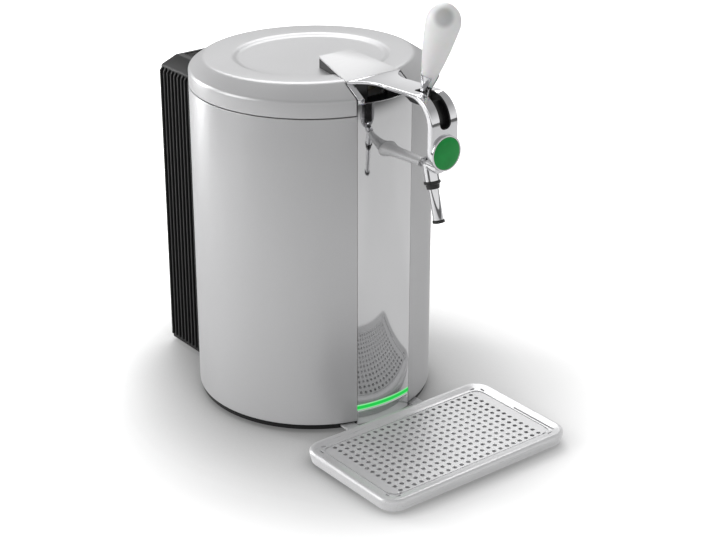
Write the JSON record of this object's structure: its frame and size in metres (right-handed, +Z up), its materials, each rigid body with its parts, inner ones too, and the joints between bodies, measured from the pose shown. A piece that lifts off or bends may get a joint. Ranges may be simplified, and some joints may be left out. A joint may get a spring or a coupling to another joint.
{
  "type": "mini keg beer dispenser",
  "caption": "Countertop cooled beer dispenser: insulated drum with a hinged lid over the keg chamber, an arched tap with a pull lever, a rear cooler housing and a pull-out drip tray.",
  "frame": {"origin": "table surface, under the centre of the whole machine's footprint", "axes": "+Z up from the table, -Y out of the front where the tap and the drip tray are, +X across the machine"},
  "size_m": [0.26, 0.479, 0.4861],
  "materials": {
    "shell_paint": "satin silver-grey paint on sheet",
    "chrome": "mirror chrome plating",
    "satin_chrome": "satin chrome plating",
    "black_plastic": "fine matte texture",
    "dark_plastic": "semi-gloss moulding",
    "grey_plastic": "satin silver-grey moulding",
    "white_plastic": "smooth inner liner",
    "foam": "rigid insulating foam",
    "rubber": "soft",
    "light": "green diffusing light guide",
    "aluminium": "extruded",
    "ceramic": "ceramic faces",
    "board": "printed circuit board",
    "steel": "brushed",
    "badge_green": "domed clear-coated disc",
    "frosted_grip": "frosted translucent moulding"
  },
  "bodies": {
    "machine": {"base_plate": "black_plastic", "rubber_feet": "rubber", "outer_shell": "shell_paint", "front_panel": "chrome", "base_trim": "satin_chrome", "light_strip": "light", "insulation": "foam", "chamber_liner": "white_plastic", "chamber_seal": "rubber", "keg_pad": "rubber", "cold_block": "aluminium", "peltier_module": "ceramic", "heat_sink": "aluminium", "fan_frame": "black_plastic", "rear_housing": "black_plastic", "top_vent": "black_plastic", "housing_screws": "steel", "control_board": "board", "power_inlet": "black_plastic", "switch_frame": "black_plastic", "hinge_bracket": "black_plastic", "hinge_pin": "steel", "tap_arch": "satin_chrome", "tap_liner": "dark_plastic", "tap_arm": "satin_chrome", "arm_nut": "steel", "tap_mount": "dark_plastic", "throat_trim": "chrome", "badge_ring": "chrome", "badge_lens": "badge_green", "spout_collar": "dark_plastic", "spout_nozzle": "chrome", "spout_tip": "dark_plastic", "lever_pin": "steel"},
    "lid": {"lid_shell": "grey_plastic", "lid_liner": "white_plastic", "lid_foam": "foam", "lid_handle_plate": "satin_chrome", "handle_support": "grey_plastic"},
    "lever": {"lever_yoke": "chrome", "lever_grip": "frosted_grip"},
    "plunger": {"tap_plunger": "rubber"},
    "tray": {"drip_tray": "satin_chrome", "tray_pan": "satin_chrome", "tray_feet": "rubber"},
    "grid": {"drip_grid": "steel"},
    "fan": {"fan_rotor": "black_plastic"},
    "rocker": {"power_switch": "dark_plastic"}
  },
  "joints": [
    {"name": "lid_hinge", "type": "hinge", "parent": "machine", "child": "lid", "pos_m": [0, 0.1875, 0.363], "axis": [-1, 0, 0], "range_deg": [0, 95]},
    {"name": "tap_lever", "type": "hinge", "parent": "machine", "child": "lever", "pos_m": [0, -0.134, 0.386], "axis": [1, 0, 0], "range_deg": [0, 50]},
    {"name": "plunger_slide", "type": "slide", "parent": "machine", "child": "plunger", "axis": [0, 0.2706, 0.9627], "range_m": [0, 0.003]},
    {"name": "tray_slide", "type": "slide", "parent": "machine", "child": "tray", "axis": [0, -1, 0], "range_m": [0, 0.06]},
    {"name": "grid_lift", "type": "slide", "parent": "tray", "child": "grid", "axis": [0, 0, 1], "range_m": [0, 0.04]},
    {"name": "fan_spin", "type": "hinge", "parent": "machine", "child": "fan", "pos_m": [0, 0.2145, 0.205], "axis": [0, 1, 0], "continuous": true},
    {"name": "power_rocker", "type": "hinge", "parent": "machine", "child": "rocker", "pos_m": [-0.004, 0.233, 0.044], "axis": [0, 0, 1], "range_deg": [0, 12]}
  ],
  "couplings": [
    {"joint": "plunger_slide", "follows": "tap_lever", "m_per_rad": 0.0034377}
  ]
}
